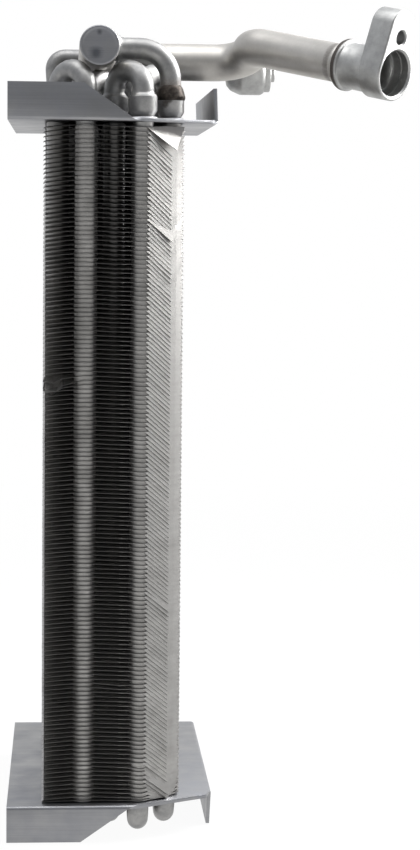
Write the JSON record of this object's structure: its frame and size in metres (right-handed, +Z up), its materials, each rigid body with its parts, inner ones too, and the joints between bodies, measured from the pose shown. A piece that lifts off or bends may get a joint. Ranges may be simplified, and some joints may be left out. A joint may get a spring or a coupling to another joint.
{
  "type": "evaporator core",
  "caption": "Plate-fin and tube cooling core with folded end plates, hairpin tubes, return bends, a suction manifold with a bolted port block, and a liquid line.",
  "frame": {"origin": "middle of the object's bounding box at the level it stands on, the lowest points of the hairpin bends", "axes": "+Z up along the tubes, +X across the core towards the suction port, +Y from the front flanges towards the rear"},
  "size_m": [0.1842, 0.1626, 0.3812],
  "materials": {
    "fins": "thin plain sheet, mill finish",
    "end_plates": "folded sheet, mill finish, satin",
    "hairpins_and_bends": "drawn tube, satin",
    "pipework": "drawn tube, satin",
    "machined_fittings": "turned and milled, satin",
    "braze": "dark flux-stained braze, dull"
  },
  "bodies": {
    "root": {"bottom_end_plate": "end_plates", "branch_collar_1": "braze", "branch_collar_2": "braze", "branch_collar_3": "braze", "branch_tube_1": "pipework", "branch_tube_2": "pipework", "branch_tube_3": "pipework", "fin_pack": "fins", "hairpin_row1_1": "hairpins_and_bends", "hairpin_row1_2": "hairpins_and_bends", "hairpin_row1_3": "hairpins_and_bends", "hairpin_row2_1": "hairpins_and_bends", "hairpin_row2_2": "hairpins_and_bends", "hairpin_row2_3": "hairpins_and_bends", "hairpin_row3_1": "hairpins_and_bends", "hairpin_row3_2": "hairpins_and_bends", "hairpin_row3_3": "hairpins_and_bends", "hairpin_row4_1": "hairpins_and_bends", "hairpin_row4_2": "hairpins_and_bends", "hairpin_row4_3": "hairpins_and_bends", "hairpin_row5_1": "hairpins_and_bends", "hairpin_row5_2": "hairpins_and_bends", "hairpin_row5_3": "hairpins_and_bends", "liquid_fitting": "machined_fittings", "liquid_header": "pipework", "liquid_tube": "pipework", "manifold_front_cap": "pipework", "manifold_rear_cap": "pipework", "return_bend_1_2_1": "hairpins_and_bends", "return_bend_1_2_2": "hairpins_and_bends", "return_bend_1_2_3": "hairpins_and_bends", "return_bend_2_3_1": "hairpins_and_bends", "return_bend_2_3_2": "hairpins_and_bends", "return_bend_2_3_3": "hairpins_and_bends", "return_bend_3_4_1": "hairpins_and_bends", "return_bend_3_4_2": "hairpins_and_bends", "return_bend_3_4_3": "hairpins_and_bends", "return_bend_4_5_1": "hairpins_and_bends", "return_bend_4_5_2": "hairpins_and_bends", "return_bend_4_5_3": "hairpins_and_bends", "suction_block": "machined_fittings", "suction_braze_ring": "braze", "suction_manifold": "pipework", "suction_tube": "pipework", "top_end_plate": "end_plates"}
  },
  "joints": []
}
